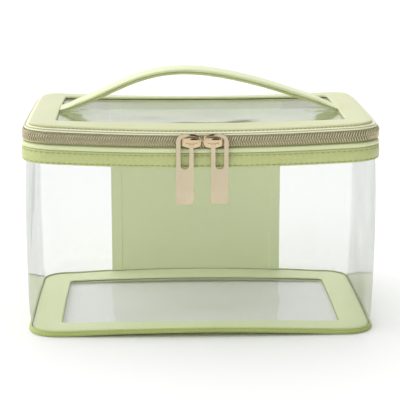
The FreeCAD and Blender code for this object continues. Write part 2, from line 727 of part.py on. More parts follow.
def draw_slot(sketch, x, top_centre, drop, radius):
    """A slot with round ends that runs down from top_centre by drop."""
    low_centre = top_centre - drop
    upper = sketch.addGeometry(arc((x.value, top_centre.value), radius.value, 0, math.pi), False)
    lower = sketch.addGeometry(arc((x.value, low_centre.value), radius.value, math.pi,
                                   2 * math.pi), False)
    left = sketch.addGeometry(line((x.value - radius.value, top_centre.value),
                                   (x.value - radius.value, low_centre.value)), False)
    right = sketch.addGeometry(line((x.value + radius.value, low_centre.value),
                                    (x.value + radius.value, top_centre.value)), False)
    for first, point, second, other in ((upper, 2, left, 1), (left, 2, lower, 1),
                                        (lower, 2, right, 1), (right, 2, upper, 1)):
        sketch.addConstraint(Sketcher.Constraint("Tangent", first, point, second, other))
    place_point(sketch, upper, 3, x, top_centre)
    dimension(sketch, "DistanceY", (lower, 3, upper, 3), drop)
    dimension(sketch, "Radius", (upper,), radius)


make_base()
make_wall()
make_back_panel()
make_band()
make_zip()
make_lid()
make_hinge()
make_handle()
for slider_name, slider_side in (("left", -1), ("right", 1)):
    make_slider(slider_name, slider_side)
    make_crown(slider_name, slider_side)
    make_pull(slider_name, slider_side)

doc.recompute()
for item in doc.Objects:
    if "Invalid" in item.State or "Error" in item.State:
        raise RuntimeError("%s failed: %s" % (item.Label, item.State))
for part in parts:
    if part.Shape.isNull() or not part.Shape.isValid():
        raise RuntimeError(part.Label + " has no valid shape")

os.makedirs("parts", exist_ok=True)
for part in parts:
    part.Shape.exportStep("parts/%s.step" % part.Label)
    box = part.Shape.BoundBox
    print("%-22s %2d solids %9.1f mm3  x %7.2f %7.2f  y %7.2f %7.2f  z %7.2f %7.2f" % (
        part.Label, len(part.Shape.Solids), part.Shape.Volume, box.XMin, box.XMax,
        box.YMin, box.YMax, box.ZMin, box.ZMax))
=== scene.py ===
import bisect
import math
import bmesh
import bpy
from mathutils import Matrix, Vector


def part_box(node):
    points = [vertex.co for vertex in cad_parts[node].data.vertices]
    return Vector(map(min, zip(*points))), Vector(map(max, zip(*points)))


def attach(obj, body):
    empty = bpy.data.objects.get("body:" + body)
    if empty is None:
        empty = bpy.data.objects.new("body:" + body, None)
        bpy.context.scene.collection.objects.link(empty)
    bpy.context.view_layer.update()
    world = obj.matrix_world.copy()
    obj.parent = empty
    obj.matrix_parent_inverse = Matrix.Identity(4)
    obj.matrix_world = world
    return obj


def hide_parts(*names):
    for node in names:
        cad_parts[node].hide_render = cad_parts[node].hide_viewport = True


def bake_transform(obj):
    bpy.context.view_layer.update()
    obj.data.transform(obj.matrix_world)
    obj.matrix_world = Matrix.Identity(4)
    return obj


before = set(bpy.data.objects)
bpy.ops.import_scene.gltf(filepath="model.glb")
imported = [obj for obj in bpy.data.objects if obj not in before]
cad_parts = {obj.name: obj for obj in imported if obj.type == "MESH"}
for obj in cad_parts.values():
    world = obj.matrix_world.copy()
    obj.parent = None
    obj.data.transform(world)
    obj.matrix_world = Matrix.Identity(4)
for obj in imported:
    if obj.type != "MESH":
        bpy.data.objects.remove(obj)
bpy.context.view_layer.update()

# Lengths are worked out in millimetres and go to metres when a piece is finished.
MM = 0.001
METRES_TO_MM = 1000.0
WELD = 0.002


# ---------------------------------------------------------------- where the case is
def box(node):
    """The lowest and highest corner of a drawn part, in millimetres."""
    low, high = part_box(node)
    return low * METRES_TO_MM, high * METRES_TO_MM


# How far the lid's top stands in from the wall: as drawn here, and as in the plain part.
LID_INSET = 3.0
LID_PLATE_INSET = 1.5
BRIM_PROUD = 0.6
FRONT_BOW = 1800.0
SIDE_BOW = 4000.0
CORNER = 20.0
WINDOW_CORNER = 4.0
lid_low, lid_high = box("lid_frame")
half_wide = lid_high.x + LID_PLATE_INSET
half_deep = (lid_high.y - lid_low.y) / 2 + LID_PLATE_INSET
centre_y = (lid_high.y + lid_low.y) / 2

band_low, band_high = box("body_band")
roll_low, roll_high = box("band_rolled_edge")
coil_low, coil_high = box("zip_coil_lower")
upper_low, upper_high = box("zip_coil_upper")
brim_low = box("lid_rolled_edge")[0]
wall_low, wall_high = box("wall_sheet")
binding_low, binding_high = box("base_binding")
pane_low, pane_high = box("base_window")
lid_pane_low, lid_pane_high = box("lid_window")
panel_high = box("back_panel")[1]
hinge_high = box("hinge_strip")[1]
foot_low, foot_high = box("handle_ends")
strap_low, strap_high = box("handle_strap")
zip_middle = (coil_high.z + upper_low.z) / 2
back_gap = panel_high.x + 0.3
wall_gap = panel_high.x - 8.0


def quarter(inset):
    """A quarter of the outline, from the middle of the back round to the middle of the right
    side, as (x, y, outward x, outward y)."""
    corner = max(WINDOW_CORNER, CORNER - inset)
    back = Vector((0, half_deep - FRONT_BOW))
    side = Vector((half_wide - SIDE_BOW, 0))
    long_radius, short_radius = FRONT_BOW - inset, SIDE_BOW - inset
    reach, other = long_radius - corner, short_radius - corner
    span = (side - back).length
    along = (reach ** 2 - other ** 2 + span ** 2) / (2 * span)
    unit = (side - back) / span
    centre = back + unit * along
    centre += Vector((-unit.y, unit.x)) * math.sqrt(reach ** 2 - along ** 2)
    if centre.x < 0 or centre.y < 0:
        centre = back + unit * along
        centre -= Vector((-unit.y, unit.x)) * math.sqrt(reach ** 2 - along ** 2)
    at_back = math.atan2(centre.y - back.y, centre.x - back.x)
    at_side = math.atan2(centre.y - side.y, centre.x - side.x)
    found = []
    for hub, radius, start, end, steps in ((back, long_radius, math.pi / 2, at_back, 22),
                                           (centre, corner, at_back, at_side, 9),
                                           (side, short_radius, at_side, 0, 12)):
        for step in range(steps):
            turn = start + (end - start) * step / steps
            found.append((hub.x + radius * math.cos(turn), hub.y + radius * math.sin(turn),
                          math.cos(turn), math.sin(turn)))
    found.append((half_wide - inset, 0, 1, 0))
    return found


def outline(inset):
    """The whole outline, clockwise from the middle of the back."""
    part = quarter(inset)
    right_front = [(x, -y, a, -b) for x, y, a, b in part[-2::-1]]
    left_front = [(-x, -y, -a, -b) for x, y, a, b in part[1:]]
    left_back = [(-x, y, -a, b) for x, y, a, b in part[-2:0:-1]]
    return [(x, y + centre_y, a, b) for x, y, a, b in part + right_front + left_front + left_back]


END_ROOM = 1.0


class Run:
    """The wall's outer face in plan, open at the back, followed by length."""

    def __init__(self, gap):
        points = outline(0)
        points.append(points[0])
        lengths = [0.0]
        for first, second in zip(points, points[1:]):
            lengths.append(lengths[-1] + math.dist(first[:2], second[:2]))
        self.points, self.lengths = points, lengths
        self.start, self.end = gap, lengths[-1] - gap
        self.length = self.end - self.start

    def at(self, distance):
        distance = min(max(distance, 0.0), self.lengths[-1] - 1e-6)
        k = bisect.bisect_right(self.lengths, distance) - 1
        share = (distance - self.lengths[k]) / (self.lengths[k + 1] - self.lengths[k])
        first, second = self.points[k], self.points[k + 1]
        return tuple(p + (q - p) * share for p, q in zip(first, second))

    def stations(self):
        """Points along the run, closer together round the corners."""
        first, last = self.start + END_ROOM, self.end - END_ROOM
        inside = [s for s in self.lengths if first < s < last]
        return [self.at(s) for s in [self.start] + inside + [self.end]]


def between(value, table):
    """Straight-line reading of a table of (value, result) rows."""
    if value <= table[0][0]:
        return table[0][1]
    for (low, first), (high, second) in zip(table, table[1:]):
        if value <= high:
            return first + (second - first) * (value - low) / (high - low)
    return table[-1][1]


DROOP = ((wall_high.z - 20, 2.6), (band_high.z, 2.8), (zip_middle, 2.5), (lid_low.z, 3.6),
         (lid_high.z, 4.0))
LIFT = 3.2
PARTING = 1.6


def settled(x, y, z):
    """Where a point of the case hangs once the leatherette has relaxed: the long edges of the
    lid and band hang down at mid span, the long edges of the base arch up, and the two halves
    of the chain part a little between the sliders."""
    edge = min(1.0, abs(y - centre_y) / half_deep) ** 2
    hang = between(z, DROOP) * max(0.0, 1 - (x / 118) ** 2) * edge
    low = max(0.0, 1 - z / 24)
    arch = LIFT * max(0.0, 1 - (x / 100) ** 2) * edge
    high = min(1.0, max(0.0, (z - 60) / 60))
    above = z - zip_middle
    part = 0.0
    if y < centre_y:
        part = PARTING * max(0.0, 1 - (x / 6.5) ** 2) * max(0.0, 1 - abs(above) / 4.3)
    return Vector((x, y, z - hang * high + arch * low + math.copysign(part, above)))


# ---------------------------------------------------------------- making a piece
def loft(rows, closed=True, capped=False):
    """Joins rows of points into a skin by extruding each row's edges to the next row."""
    bm = bmesh.new()
    row = [bm.verts.new(point) for point in rows[0]]
    follow = row[1:] + row[:1] if closed else row[1:]
    edges = [bm.edges.new(pair) for pair in zip(row, follow)]
    first = list(edges)
    for points in rows[1:]:
        where = {tuple(vert.co): k for k, vert in enumerate(row)}
        grown = bmesh.ops.extrude_edge_only(bm, edges=edges)["geom"]
        made = [item for item in grown if isinstance(item, bmesh.types.BMVert)]
        row = sorted(made, key=lambda vert: where[tuple(vert.co)])
        fresh = set(row)
        edges = [item for item in grown
                 if isinstance(item, bmesh.types.BMEdge) and set(item.verts) <= fresh]
        for vert, point in zip(row, points):
            vert.co = point
    if capped:
        bmesh.ops.edgeloop_fill(bm, edges=first)
        bmesh.ops.edgeloop_fill(bm, edges=edges)
    return bm


def piece(name, bm, finish, body, stands_for=(), crease=40):
    """Turns a mesh drawn in millimetres into a finished piece that rides on a body."""
    bmesh.ops.remove_doubles(bm, verts=bm.verts, dist=WELD)
    bmesh.ops.recalc_face_normals(bm, faces=bm.faces)
    bmesh.ops.scale(bm, vec=Vector((MM, MM, MM)), verts=bm.verts)
    mesh = bpy.data.meshes.new(name)
    bm.to_mesh(mesh)
    bm.free()
    mesh.polygons.foreach_set("use_smooth", [True] * len(mesh.polygons))
    mesh.set_sharp_from_angle(angle=math.radians(crease))
    mesh.materials.append(finish)
    made = bpy.data.objects.new(name, mesh)
    bpy.context.scene.collection.objects.link(made)
    if body:
        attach(made, body)
    if stands_for:
        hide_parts(*stands_for)
    return made


def thicken(made, thickness):
    """Gives a sheet its thickness, half to each side."""
    solid = made.modifiers.new("thickness", "SOLIDIFY")
    solid.thickness = thickness * MM
    solid.offset = 0
    return made


def rim(section):
    """Rows for a ring that follows the whole outline: section is (inset, level) pairs."""
    rows = []
    for inset, level in section:
        rows.append([settled(x, y, level) for x, y, a, b in outline(inset)])
    return rows


def strip(run, section):
    """Rows for a strip along an open run: section is (inset, level) pairs, negative outside."""
    rows = []
    for inset, level in section:
        rows.append([settled(x - a * inset, y - b * inset, level)
                     for x, y, a, b in run.stations()])
    return rows


def rounded(outer, inner, bottom, top, soft, steps=3):
    """A closed section whose outer corners are rounded, from the inner bottom corner round."""
    section = [(inner, bottom)]
    for hub, start in ((bottom + soft, -90), (top - soft, 0)):
        for step in range(steps + 1):
            turn = math.radians(start + 90 * step / steps)
            section.append((outer + soft - soft * math.cos(turn), hub + soft * math.sin(turn)))
    section += [(inner, top), (inner, bottom)]
    return section


def merge_ends(bm):
    """Closes the two open ends of a strip's section."""
    bmesh.ops.remove_doubles(bm, verts=bm.verts, dist=WELD)
    loose = [edge for edge in bm.edges if edge.is_boundary]
    if loose:
        bmesh.ops.holes_fill(bm, edges=loose, sides=0)
    return bm


def scatter(template, places):
    """Copies of a small mesh at many places, as one mesh."""
    mesh = bpy.data.meshes.new("template")
    template.to_mesh(mesh)
    template.free()
    count = len(mesh.vertices)
    bm = bmesh.new()
    for place in places:
        bm.from_mesh(mesh)
    bm.verts.ensure_lookup_table()
    verts = bm.verts[:]
    for number, place in enumerate(places):
        bmesh.ops.transform(bm, matrix=place, verts=verts[number * count:(number + 1) * count])
    bpy.data.meshes.remove(mesh)
    return bm


def frame_at(point, along, outward):
    """A placement whose X runs along, Y outward and Z squarely up from both."""
    along = Vector(along).normalized()
    up = along.cross(Vector(outward)).normalized()
    outward = up.cross(along)
    return Matrix.Translation(point) @ Matrix((along, outward, up)).transposed().to_4x4()


# ---------------------------------------------------------------- finishes
class Value:
    """A number carried by a shader socket, so that sums are written as sums."""

    def __init__(self, tree, socket):
        self.tree, self.socket = tree, socket

    def maths(self, operation, *values):
        node = self.tree.nodes.new("ShaderNodeMath")
        node.operation = operation
        for k, value in enumerate(values):
            if isinstance(value, Value):
                self.tree.links.new(value.socket, node.inputs[k])
            else:
                node.inputs[k].default_value = value
        return Value(self.tree, node.outputs[0])

    def __add__(self, other):
        return self.maths("ADD", self, other)

    __radd__ = __add__

    def __sub__(self, other):
        return self.maths("SUBTRACT", self, other)

    def __rsub__(self, other):
        return self.maths("SUBTRACT", other, self)

    def __mul__(self, other):
        return self.maths("MULTIPLY", self, other)

    __rmul__ = __mul__

    def __pow__(self, other):
        return self.maths("POWER", self, other)

    def clamped(self):
        return self.maths("MINIMUM", self.maths("MAXIMUM", self, 0.0), 1.0)


class Finish:
    """A material and the one way its nodes are added."""

    def __init__(self, name):
        self.material = bpy.data.materials.new(name)
        self.material.use_nodes = True
        self.tree = self.material.node_tree
        self.tree.nodes.clear()
        self.end = self.tree.nodes.new("ShaderNodeOutputMaterial")

    def node(self, kind, settings=None, sockets=None):
        node = self.tree.nodes.new("ShaderNode" + kind)
        for key, value in (settings or {}).items():
            setattr(node, key, value)
        for key, value in (sockets or {}).items():
            if isinstance(value, Value):
                value = value.socket
            if isinstance(value, bpy.types.NodeSocket):
                self.tree.links.new(value, node.inputs[key])
            else:
                node.inputs[key].default_value = value
        return node

    def number(self, node, output):
        return Value(self.tree, node.outputs[output])

    def done(self, shader):
        self.tree.links.new(shader.outputs[0], self.end.inputs["Surface"])
        return self.material


def colour_of(red, green, blue):
    return (red, green, blue, 1.0)


def leatherette(name, pale, deep, roughness=0.42, grain=0.5, grain_size=1.5):
    """Pebbled polyurethane leather: raised pebbles, darker creases between them, and a slow
    drift of shade over the hide."""
    finish = Finish(name)
    place = finish.node("TexCoord").outputs["Object"]
    pebble = finish.node("TexVoronoi", {"feature": "SMOOTH_F1"},
                         {"Vector": place, "Scale": METRES_TO_MM / grain_size,
                          "Smoothness": 0.6, "Randomness": 0.9})
    fine = finish.node("TexNoise", {}, {"Vector": place, "Scale": 2600.0, "Detail": 2.0})
    drift = finish.node("TexNoise", {}, {"Vector": place, "Scale": 22.0, "Detail": 3.0})
    pore = finish.number(pebble, "Distance")
    small = finish.number(fine, "Fac")
    slow = finish.number(drift, "Fac")
    shade = (pore * 0.55 + slow * 0.5 + small * 0.16 - 0.22).clamped()
    colour = finish.node("Mix", {"data_type": "RGBA"},
                         {0: shade, 6: colour_of(*pale), 7: colour_of(*deep)})
    height = 1 - pore * 0.85 + small * 0.12
    bump = finish.node("Bump", {}, {"Height": height, "Distance": 0.0003, "Strength": grain})
    gloss = roughness + (pore - 0.4) * 0.22 + (slow - 0.5) * 0.1
    return finish.done(finish.node("BsdfPrincipled", {}, {
        "Base Color": colour.outputs[2], "Roughness": gloss.clamped(),
        "Normal": bump.outputs["Normal"], "Specular IOR Level": 0.45,
        "Sheen Weight": 0.12, "Sheen Roughness": 0.5}))


def clear_sheet(name, tint, edge_tint, haze, onset):
    """Clear PVC film: see-through, a soft gloss that grows as it is looked at along its
    surface, faint haze and rub marks, and a grey cut edge."""
    finish = Finish(name)
    place = finish.node("TexCoord").outputs["Object"]
    ripple = finish.node("TexNoise", {}, {"Vector": place, "Scale": 11.0, "Detail": 1.0})
    rub = finish.node("TexNoise", {}, {"Vector": place, "Scale": 260.0, "Detail": 4.0,
                                       "Roughness": 0.7})
    bump = finish.node("Bump", {}, {"Height": finish.number(ripple, "Fac"),
                                    "Distance": 0.010, "Strength": 0.6})
    mark = finish.number(rub, "Fac")
    weight = finish.node("LayerWeight", {}, {"Blend": 0.5, "Normal": bump.outputs["Normal"]})
    slant = finish.number(weight, "Facing")
    clear = finish.node("BsdfTransparent", {}, {"Color": colour_of(*tint)})
    grey = finish.node("BsdfTransparent", {}, {"Color": colour_of(*edge_tint)})
    sheet = finish.node("MixShader", {}, {"Fac": (slant ** 9.0).clamped(),
                                          1: clear.outputs[0], 2: grey.outputs[0]})
    gloss = finish.node("BsdfPrincipled", {}, {
        "Base Color": colour_of(0.95, 0.96, 0.95), "Roughness": (0.04 + mark * 0.08).clamped(),
        "Metallic": 1.0, "Normal": bump.outputs["Normal"]})
    milk = finish.node("BsdfPrincipled", {}, {"Base Color": colour_of(0.90, 0.91, 0.89),
                                              "Roughness": 0.5})
    hazed = finish.node("MixShader", {}, {"Fac": (mark * haze).clamped(), 1: sheet.outputs[0],
                                          2: milk.outputs[0]})
    share = (0.03 + 0.95 * slant ** onset).clamped()
    return finish.done(finish.node("MixShader", {}, {"Fac": share, 1: hazed.outputs[0],
                                                     2: gloss.outputs[0]}))


def gold(name, colour, dark, roughness, brushed):
    """Plated zinc: a lacquered gold skin, faint polishing lines and a few dull handling spots."""
    finish = Finish(name)
    place = finish.node("TexCoord").outputs["Object"]
    line = finish.node("Mapping", {}, {"Vector": place, "Scale": (1.0, 1.0, 0.06)})
    lines = finish.node("TexNoise", {}, {"Vector": line.outputs[0], "Scale": 3200.0,
                                         "Detail": 2.0})
    cloud = finish.node("TexNoise", {}, {"Vector": place, "Scale": 90.0, "Detail": 4.0})
    streak = finish.number(lines, "Fac")
    dull = finish.number(cloud, "Fac")
    tone = finish.node("Mix", {"data_type": "RGBA"},
                       {0: (dull * 0.8 - 0.1).clamped(), 6: colour_of(*colour),
                        7: colour_of(*dark)})
    bump = finish.node("Bump", {}, {"Height": streak, "Distance": 0.00004,
                                    "Strength": brushed})
    return finish.done(finish.node("BsdfPrincipled", {}, {
        "Base Color": tone.outputs[2], "Metallic": 1.0,
        "Roughness": (roughness + (dull - 0.5) * 0.16 + (streak - 0.5) * 0.1).clamped(),
        "Normal": bump.outputs["Normal"], "Coat Weight": 0.25, "Coat Roughness": 0.08}))


def nylon(name, colour, dark):
    """Metallic-finish nylon monofilament of the zip's coils."""
    finish = Finish(name)
    place = finish.node("TexCoord").outputs["Object"]
    cloud = finish.node("TexNoise", {}, {"Vector": place, "Scale": 420.0, "Detail": 3.0})
    worn = finish.number(cloud, "Fac")
    tone = finish.node("Mix", {"data_type": "RGBA"},
                       {0: (worn * 1.3 - 0.2).clamped(), 6: colour_of(*colour),
                        7: colour_of(*dark)})
    bump = finish.node("Bump", {}, {"Height": worn, "Distance": 0.0001, "Strength": 0.2})
    return finish.done(finish.node("BsdfPrincipled", {}, {
        "Base Color": tone.outputs[2], "Metallic": 0.75,
        "Roughness": (0.24 + worn * 0.22).clamped(), "Normal": bump.outputs["Normal"]}))


def woven(name, colour, dark, size=0.55):
    """Woven polyester: fine ribs crossed by finer weft."""
    finish = Finish(name)
    place = finish.node("TexCoord").outputs["Object"]
    rib = finish.node("TexWave", {"wave_type": "BANDS", "bands_direction": "Z"},
                      {"Vector": place, "Scale": 1000.0 / size / 6.28, "Distortion": 0.4})
    grit = finish.node("TexNoise", {}, {"Vector": place, "Scale": 1700.0, "Detail": 2.0})
    ridge = finish.number(rib, "Fac")
    fleck = finish.number(grit, "Fac")
    tone = finish.node("Mix", {"data_type": "RGBA"},
                       {0: (ridge * 0.5 + fleck * 0.6 - 0.1).clamped(), 6: colour_of(*dark),
                        7: colour_of(*colour)})
    bump = finish.node("Bump", {}, {"Height": ridge * 0.7 + fleck * 0.4, "Distance": 0.0002,
                                    "Strength": 0.6})
    return finish.done(finish.node("BsdfPrincipled", {}, {
        "Base Color": tone.outputs[2], "Roughness": (0.7 + fleck * 0.2).clamped(),
        "Normal": bump.outputs["Normal"], "Sheen Weight": 0.2}))


def board(name):
    """Grey-white polypropylene stiffener board."""
    finish = Finish(name)
    place = finish.node("TexCoord").outputs["Object"]
    speck = finish.node("TexNoise", {}, {"Vector": place, "Scale": 900.0, "Detail": 5.0})
    grain = finish.number(speck, "Fac")
    tone = finish.node("Mix", {"data_type": "RGBA"},
                       {0: grain, 6: colour_of(0.62, 0.63, 0.58),
                        7: colour_of(0.76, 0.77, 0.72)})
    bump = finish.node("Bump", {}, {"Height": grain, "Distance": 0.0001, "Strength": 0.3})
    return finish.done(finish.node("BsdfPrincipled", {}, {
        "Base Color": tone.outputs[2], "Roughness": (0.55 + grain * 0.2).clamped(),
        "Normal": bump.outputs["Normal"]}))


leather = leatherette("leatherette_pistachio", (0.59, 0.64, 0.30), (0.47, 0.52, 0.18),
                      grain=1.0, grain_size=2.0)
# The binding's own darker green; the hinge lining above the chain reuses it as painted shade
# under the lid.
leather_binding_and_shade = leatherette("leatherette_binding_and_painted_shade", (0.50, 0.57, 0.20), (0.40, 0.47, 0.14),
                            grain=0.55)
leather_panel = leatherette("leatherette_panel", (0.68, 0.75, 0.37), (0.62, 0.69, 0.30),
                            roughness=0.5, grain=0.22)
# A paler, greyer copy of the pistachio hide for the band's rolled edge and the handle's top
# layer: painted light where these faces turn up to the lamps.
leather_pale_painted_light = leatherette("leatherette_rolled_painted_light", (0.78, 0.83, 0.52), (0.70, 0.75, 0.42),
                           grain=0.3)
leather_cream = leatherette("leatherette_brim", (0.93, 0.91, 0.70), (0.87, 0.85, 0.60),
                            grain=0.2)
lining = leatherette("leatherette_inside", (0.80, 0.87, 0.53), (0.74, 0.81, 0.45),
                     roughness=0.5, grain=0.2)
# The lid frame is the band's pistachio hide painted paler and greyer: painted top light and sheen
# where the lid's top faces the lamps.
lid_skin_painted_light = leatherette("leatherette_lid_painted_top_light", (0.68, 0.70, 0.43), (0.60, 0.63, 0.33),
                       roughness=0.42, grain=0.3)
film = clear_sheet("clear_pvc_film", (0.968, 0.971, 0.968), (0.45, 0.46, 0.44), 0.03,
                   6.5)
floor_film = clear_sheet("clear_pvc_base", (0.994, 0.996, 0.992), (0.90, 0.91, 0.88), 0.03,
                         8.0)
tape = woven("zip_tape_weave", (0.50, 0.52, 0.24), (0.33, 0.35, 0.14))
coil_gold = nylon("zip_coil_gold", (0.85, 0.80, 0.58), (0.61, 0.54, 0.34))
plate_gold = gold("polished_gold", (0.72, 0.57, 0.37), (0.56, 0.40, 0.22), 0.11, 0.12)
pull_gold = gold("champagne_gold", (0.66, 0.57, 0.40), (0.59, 0.50, 0.33), 0.30, 0.3)
thread = woven("sewing_thread", (0.40, 0.44, 0.14), (0.28, 0.31, 0.09), size=0.2)
stiff = board("stiffener_board")

# ---------------------------------------------------------------- base
WINDOW_FILM = 0.5
WALL_FILM = 0.6
BASE_TUCK = 1.0
base_edge = BASE_TUCK + 0.8
base_window_edge = 23.0
frame_top = pane_low.z


def make_base():
    under = [(base_edge, 0.5), (base_edge, frame_top), (base_window_edge, frame_top),
             (base_window_edge, 0.3), (base_window_edge - 0.4, 0), (base_edge + 0.6, 0),
             (base_edge, 0.5)]
    piece("base_frame", loft(rim(under)), leather_binding_and_shade, "case", ["base_frame"])
    core = [(base_edge, frame_top), (base_edge, pane_high.z),
            (base_window_edge - 7.7, pane_high.z), (base_window_edge - 7.7, frame_top),
            (base_edge, frame_top)]
    piece("base_stiffener", loft(rim(core)), stiff, "case", ["base_stiffener"])
    low, top = pane_high.z, 3.2
    inner = [(base_edge, low), (base_edge, top - 0.2), (base_edge + 0.5, top + 0.1),
             (base_edge + 3, top + 0.3), (12, top + 0.35), (base_window_edge - 3.4, top + 0.3),
             (base_window_edge - 2.4, top + 0.12), (base_window_edge - 1.4, top + 0.26),
             (base_window_edge - 0.4, top + 0.12), (base_window_edge, top - 0.3),
             (base_window_edge, low), (base_edge, low)]
    piece("base_frame_lining", loft(rim(inner)), lining, "case", ["base_frame_lining"])
    lip, outer = BASE_TUCK, binding_low.x + half_wide
    top = binding_high.z
    wrap = [(lip, 0), (outer + 0.7, 0), (outer + 0.15, 0.35), (outer - 0.05, 1.2),
            (outer + 0.1, 2.0), (outer + 0.55, 2.5), (outer + 0.75, 2.75), (outer + 0.5, 3.1),
            (outer + 0.55, 3.6), (outer + 1.1, top), (lip - 0.2, top), (lip, top - 0.4), (lip, 0)]
    piece("base_binding", loft(rim(wrap)), leather_binding_and_shade, "case", ["base_binding"])
    stitches("base_stitches", [(outer - 0.05, 1.15)], 3.3, "case", None, 2.3)


def make_pane(name, node, level, sag, body, edge):
    """A clear window: a flat sheet whose edge is sewn between the frame's layers."""
    low, high = box(node)
    bm = bmesh.new()
    bmesh.ops.create_grid(bm, x_segments=76, y_segments=46, size=1)
    wide, deep = high.x - edge, (high.y - low.y) / 2 - edge
    for vert in bm.verts:
        x, y = vert.co.x * wide, vert.co.y * deep
        vert.co = settled(x, y + centre_y, level) + Vector((0, 0, sag(x, y)))
    made = piece(name, bm, floor_film if body == "case" else film, body, [node])
    thicken(made, WINDOW_FILM)
    return made


def base_wave(x, y):
    return 0.25 * math.sin(x / 31) * math.cos(y / 24)


# ---------------------------------------------------------------- stitches
def stitches(name, rows, pitch, body, run, length=2.8, thick=0.55):
    """Rows of lock stitches: rows is (inset, level) pairs; run is None round a whole outline."""
    bead = bmesh.new()
    bmesh.ops.create_uvsphere(bead, u_segments=6, v_segments=4, radius=0.5)
    bmesh.ops.rotate(bead, cent=Vector(), matrix=Matrix.Rotation(math.pi / 2, 3, "Y"),
                     verts=bead.verts)
    bmesh.ops.scale(bead, vec=Vector((length, thick, thick)), verts=bead.verts)
    line = run or Run(0.0)
    count = round(line.length / pitch)
    places = []
    for inset, level in rows:
        for k in range(count):
            s = line.start + (k + 0.5) * line.length / count
            x, y, a, b = line.at(s)
            here = settled(x - a * inset, y - b * inset, level)
            x2, y2, a2, b2 = line.at(s + 0.5)
            ahead = settled(x2 - a2 * inset, y2 - b2 * inset, level)
            places.append(frame_at(here, ahead - here, (a, b, 0)))
    return piece(name, scatter(bead, places), thread, body)


# ---------------------------------------------------------------- wall
def make_wall():
    run = Run(wall_gap)
    rows = []
    levels = [wall_low.z, 4, 7, 10, 13, 16] + [16 + (wall_high.z - 16) * k / 20
                                               for k in range(1, 21)]
    for level in levels:
        tuck = between(level, ((4, BASE_TUCK), (16, 0)))
        rise = (level - wall_low.z) / (wall_high.z - wall_low.z)
        bulge = 1.6 * math.sin(math.pi * rise)
        row = []
        for x, y, a, b in run.stations():
            ripple = 0.35 * math.sin(x / 37 + level / 29) * math.sin(math.pi * rise)
            inset = 0.4 + tuck - (bulge + ripple)
            row.append(settled(x - a * inset, y - b * inset, level))
        rows.append(row)
    made = piece("wall_sheet", loft(rows, closed=False), film, "case", ["wall_sheet"])
    thicken(made, WALL_FILM)


# ---------------------------------------------------------------- back panel and hinge
def back_strip(outer, inner, half, levels, hem=0.0):
    """Rows up a strip of the bowed back, hemmed thicker at its sides."""
    across = [half * k / 14 for k in range(-14, 15)]
    if hem:
        across = sorted(across + [-half + 8.4, -half + 8.8, half - 8.8, half - 8.4])
    rows = []
    for level in levels:
        tuck = between(level, ((4, BASE_TUCK), (16, 0)))
        row = []
        for side, inset in ((1, outer), (-1, inner)):
            for x in across[::side]:
                fold = hem if side < 0 and abs(x) > half - 8.6 else 0.0
                reach = FRONT_BOW - inset - tuck - fold
                y = math.sqrt(reach ** 2 - x * x) + half_deep - FRONT_BOW + centre_y
                row.append(settled(x, y, level))
        rows.append(row)
    return rows


def make_back_panel():
    levels = [4, 7, 10, 13, 16] + [16 + (coil_low.z - 16) * k / 14 for k in range(1, 15)]
    levels += [coil_low.z + (hinge_high.z - coil_low.z) * k / 12 for k in range(1, 13)]
    below = [z for z in levels if z < coil_low.z + 0.01]
    above = [min(z, hinge_high.z - 0.8) for z in levels if z > coil_low.z - 0.01]
    # The lining is split at the chain so that the hinge lining above it takes the darker binding
    # hide: painted shade where the lid shadows it.
    for name, outer, inner, finish, hem, nodes, slot, rise in (
            ("back_panel", -1.0, 0.0, leather_panel, 0.0, ["back_panel", "hinge_strip"],
             "leatherette", levels),
            ("back_panel_lining", 0.8, 1.6, lining, 0.35, ["back_panel_lining"],
             "leatherette_lining", below),
            ("hinge_lining", 0.8, 1.6, leather_binding_and_shade, 0.35, ["hinge_strip_lining"],
             "leatherette_lining", above)):
        rows = back_strip(outer, inner, panel_high.x, rise, hem)
        made = piece(name, loft(rows, capped=True), finish, None, nodes)
        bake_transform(made)
    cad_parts["back_panel_stiffener"].material_slots[0].material = stiff


# ---------------------------------------------------------------- band and zip
def make_band():
    run = Run(back_gap)
    out = band_low.x + half_wide
    low, top = band_low.z, band_high.z
    row_high, row_low = top - 1.7, low + 1.5
    section = [(0, low), (out + 1.2, low), (out + 0.4, low + 0.25), (out + 0.1, low + 0.8),
               (out + 0.35, row_low), (out, row_low + 0.8), (out - 0.25, low + 4),
               (out - 0.25, top - 4), (out, row_high - 0.8), (out + 0.35, row_high),
               (out + 0.1, top - 0.9), (out + 0.5, top - 0.3), (out + 1.2, top), (0, top),
               (0, low)]
    piece("body_band", merge_ends(loft(strip(run, section), closed=False)), leather,
          "case", ["body_band"])
    stitches("band_stitches", [(out + 0.15, row_low), (out + 0.15, row_high)], 3.9, "case", run)
    # The rolled edge takes the paler hide: painted light on its rounded top.
    edge = rounded(out + 0.1, 0.0, roll_low.z, roll_high.z, 1.5, 5)
    piece("band_rolled_edge", merge_ends(loft(strip(run, edge), closed=False)),
          leather_pale_painted_light, "case", ["band_rolled_edge"])
    inside = rounded(0.8, 1.6, low, roll_high.z, 0.3, 2)
    piece("body_band_lining", merge_ends(loft(strip(run, inside), closed=False)), lining,
          "case", ["body_band_lining"])


TAPE_GAP = 0.05
COIL_PITCH = 1.84
HEAD_REACH = 0.6
TURN_LEAN = 0.3


def make_zip():
    run = Run(back_gap)
    for name, low, top, body in (
            ("zip_tape_lower", wall_high.z, zip_middle - TAPE_GAP, "case"),
            ("zip_tape_upper", zip_middle + TAPE_GAP, lid_pane_low.z, "lid")):
        section = [(0, low), (0, (low + top) / 2), (0, top), (0.8, top), (0.8, low), (0, low)]
        piece(name, merge_ends(loft(strip(run, section), closed=False)), tape, body,
              [name])
    for name, low, top, body, flip in (
            ("zip_coil_lower", coil_low.z, zip_middle + HEAD_REACH, "case", 1),
            ("zip_coil_upper", zip_middle - HEAD_REACH, upper_high.z, "lid", -1)):
        coil_turns(name, run, low, top, body, flip)


